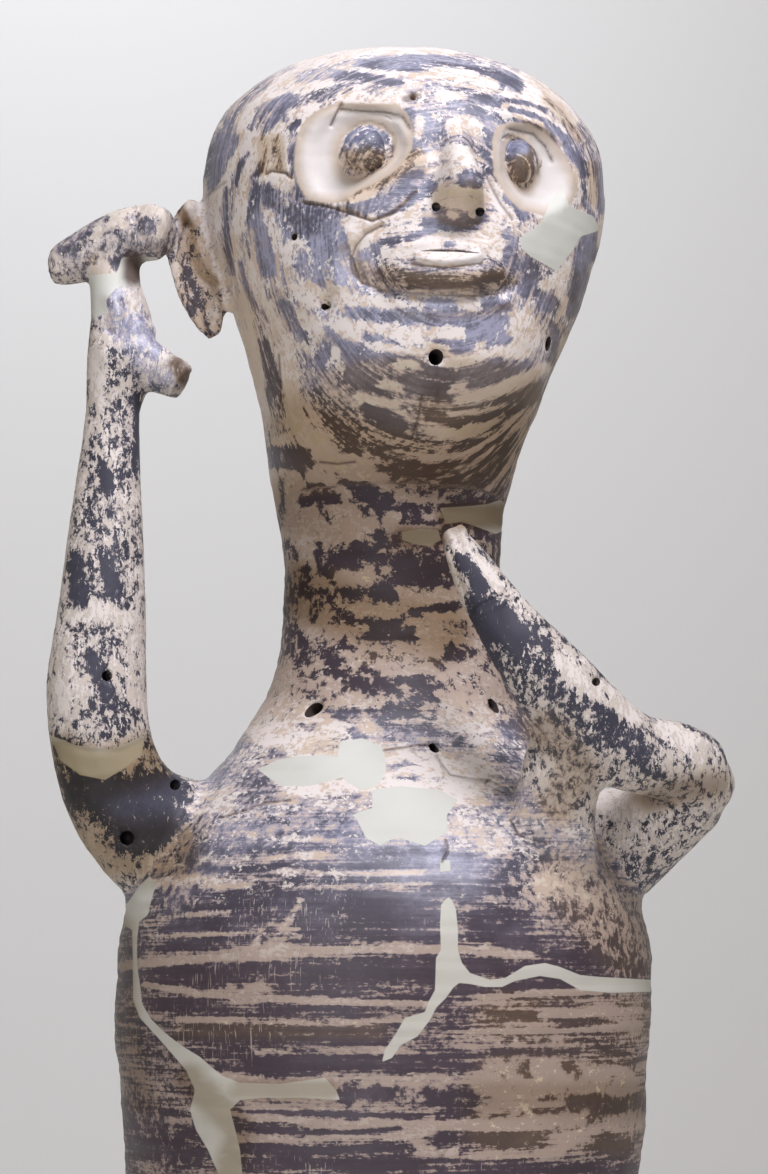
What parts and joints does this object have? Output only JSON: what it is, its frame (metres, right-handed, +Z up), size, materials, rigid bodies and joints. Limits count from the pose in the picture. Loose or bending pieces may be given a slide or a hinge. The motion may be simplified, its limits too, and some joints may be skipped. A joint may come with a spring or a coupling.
{
  "type": "pottery figure",
  "caption": "Hollow wheel-made pottery figure, open at the foot, with a goggle-eyed face, one hand raising a hammer-axe and the other arm bent across the chest.",
  "frame": {"origin": "middle of the figure's plan, on the surface it stands on; the foot's own centre is at x 0.007, y 0.005", "axes": "+Z up the figure, -Y the way the face looks, -X towards the figure's right arm and the axe"},
  "size_m": [0.2068, 0.178, 0.5985],
  "materials": {
    "painted_clay": "fired buff clay under a worn, streaky purple-black slip paint, with pale plaster fills"
  },
  "bodies": {
    "root": {"figure": "painted_clay"}
  },
  "joints": []
}
